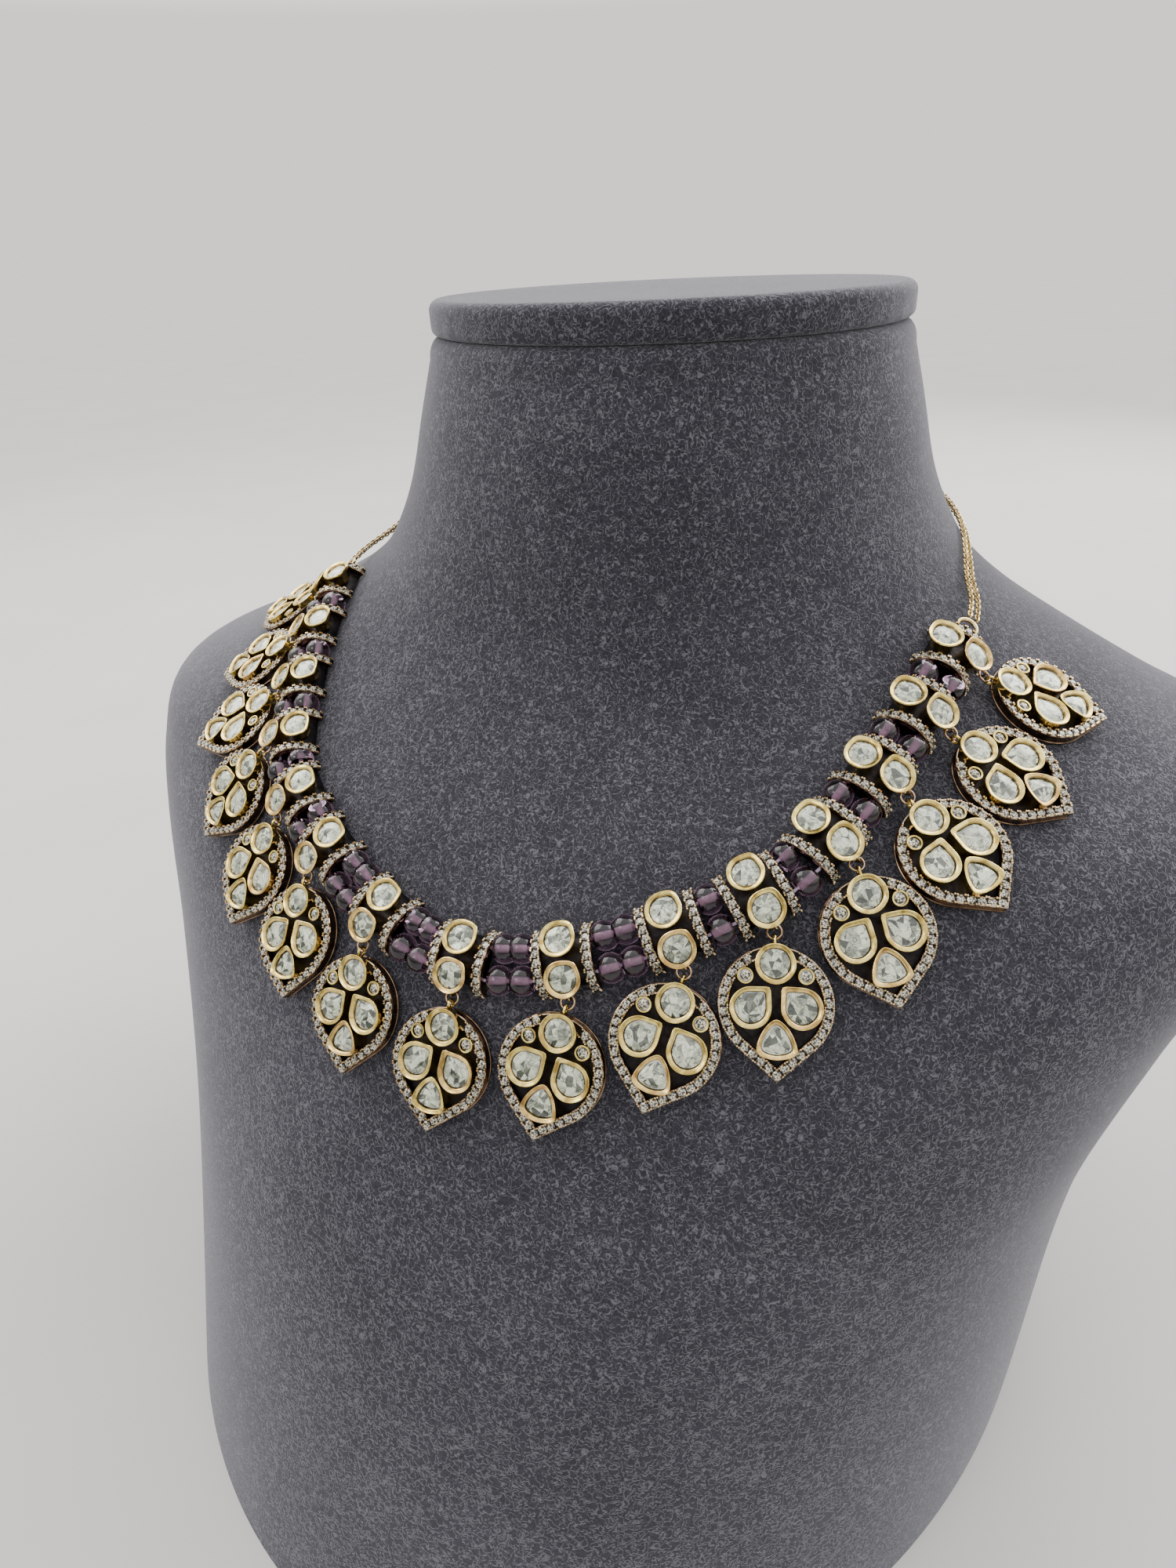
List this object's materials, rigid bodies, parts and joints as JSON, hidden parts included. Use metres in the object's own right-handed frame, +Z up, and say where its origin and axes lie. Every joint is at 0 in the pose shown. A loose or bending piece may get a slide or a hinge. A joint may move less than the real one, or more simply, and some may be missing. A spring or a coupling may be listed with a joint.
{
  "type": "kundan necklace on a neck bust",
  "caption": "Kundan necklace of stone-set arches and leaf pendants with glass beads between them, on a suede neck bust with a flat cap.",
  "frame": {"origin": "middle of the whole part's box, at the bust's base", "axes": "+X to the wearer's left across the shoulders, -Y out of the chest, +Z up"},
  "size_m": [0.3172, 0.2544, 0.2565],
  "materials": {
    "suede": "napped suede",
    "antique_gold": "antique polished",
    "ring_gold": "polished wire",
    "yellow_gold": "polished",
    "chain_gold": "fine links, polished",
    "lilac_thread": "matt thread",
    "purple_glass": "polished",
    "kundan_stone": "polished flat cut"
  },
  "bodies": {
    "root": {"bust_body": "suede", "bust_cap": "suede", "station_01": "antique_gold", "pendant_01": "antique_gold", "jump_ring_01": "ring_gold", "station_02": "antique_gold", "pendant_02": "antique_gold", "jump_ring_02": "ring_gold", "station_03": "antique_gold", "pendant_03": "antique_gold", "jump_ring_03": "ring_gold", "station_04": "antique_gold", "pendant_04": "antique_gold", "jump_ring_04": "ring_gold", "station_05": "antique_gold", "pendant_05": "antique_gold", "jump_ring_05": "ring_gold", "station_06": "antique_gold", "pendant_06": "antique_gold", "jump_ring_06": "ring_gold", "station_07": "antique_gold", "pendant_07": "antique_gold", "jump_ring_07": "ring_gold", "station_08": "antique_gold", "pendant_08": "antique_gold", "jump_ring_08": "ring_gold", "station_09": "antique_gold", "pendant_09": "antique_gold", "jump_ring_09": "ring_gold", "station_10": "antique_gold", "pendant_10": "antique_gold", "jump_ring_10": "ring_gold", "station_11": "antique_gold", "pendant_11": "antique_gold", "jump_ring_11": "ring_gold", "station_12": "antique_gold", "pendant_12": "antique_gold", "jump_ring_12": "ring_gold", "station_13": "antique_gold", "pendant_13": "antique_gold", "jump_ring_13": "ring_gold", "station_14": "antique_gold", "pendant_14": "antique_gold", "jump_ring_14": "ring_gold", "station_15": "antique_gold", "pendant_15": "antique_gold", "jump_ring_15": "ring_gold", "end_ring_left": "yellow_gold", "end_ring_right": "yellow_gold", "clasp": "yellow_gold", "chain_left_upper": "chain_gold", "chain_left_lower": "chain_gold", "chain_right_upper": "chain_gold", "chain_right_lower": "chain_gold", "thread_upper": "lilac_thread", "thread_lower": "lilac_thread", "beads_upper": "purple_glass", "beads_lower": "purple_glass", "station_stones": "kundan_stone", "pendant_stones": "kundan_stone"}
  },
  "joints": []
}
